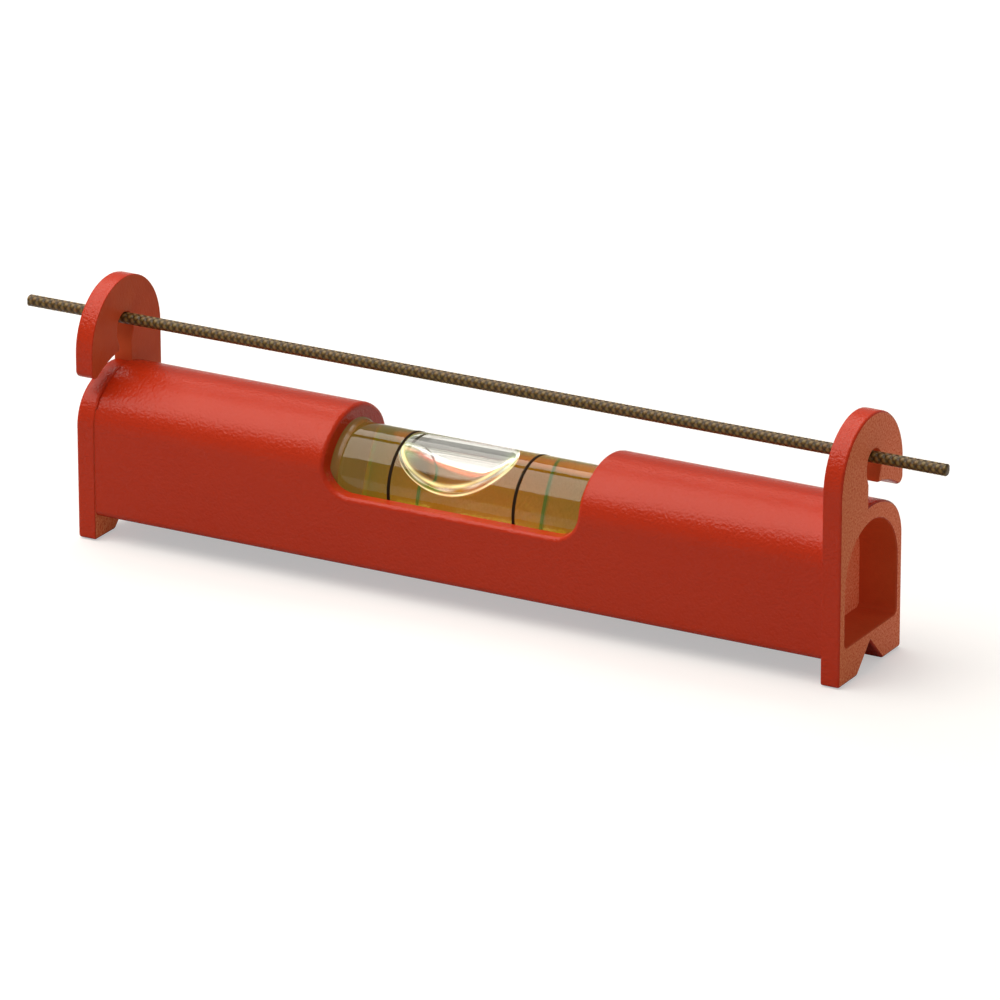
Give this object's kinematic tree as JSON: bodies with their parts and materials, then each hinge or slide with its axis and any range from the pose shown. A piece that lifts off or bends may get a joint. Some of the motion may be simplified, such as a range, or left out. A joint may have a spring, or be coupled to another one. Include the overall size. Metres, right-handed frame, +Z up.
{
  "type": "line level",
  "caption": "Line level: moulded plastic housing with a hook at each end for a taut builder's line and a tubular spirit vial in a window in its back",
  "frame": {"origin": "the middle of the feet's underside, under the middle of the housing", "axes": "X along the level with the line's shorter tail at +X, Y to the level's back, Z up"},
  "size_m": [0.096, 0.0122, 0.0243],
  "materials": {
    "housing": "red injection-moulded ABS, fine spark-eroded texture, sanded grain on the end faces",
    "vial": "clear acrylic, polished",
    "spirit": "yellow-green dyed spirit",
    "bubble": "air in the spirit",
    "ring_ink": "black printed ink",
    "adhesive": "set clear adhesive",
    "line": "tightly braided olive-brown polyester line, cut square"
  },
  "bodies": {
    "level": {"housing": "housing", "vial_body": "vial", "vial_plug": "vial", "spirit": "spirit", "level_ring_left": "ring_ink", "level_ring_right": "ring_ink", "adhesive_left": "adhesive", "adhesive_right": "adhesive"},
    "bubble": {"air_bubble": "bubble"},
    "line": {"line": "line"}
  },
  "joints": [
    {"name": "bubble_slide", "type": "slide", "parent": "level", "child": "bubble", "axis": [1, 0, 0], "range_m": [-0.0039, 0.0079], "deforming": ["spirit"]},
    {"name": "line_slide", "type": "slide", "parent": "level", "child": "line", "axis": [1, 0, 0], "range_m": [-0.0068, 0.0082]}
  ]
}
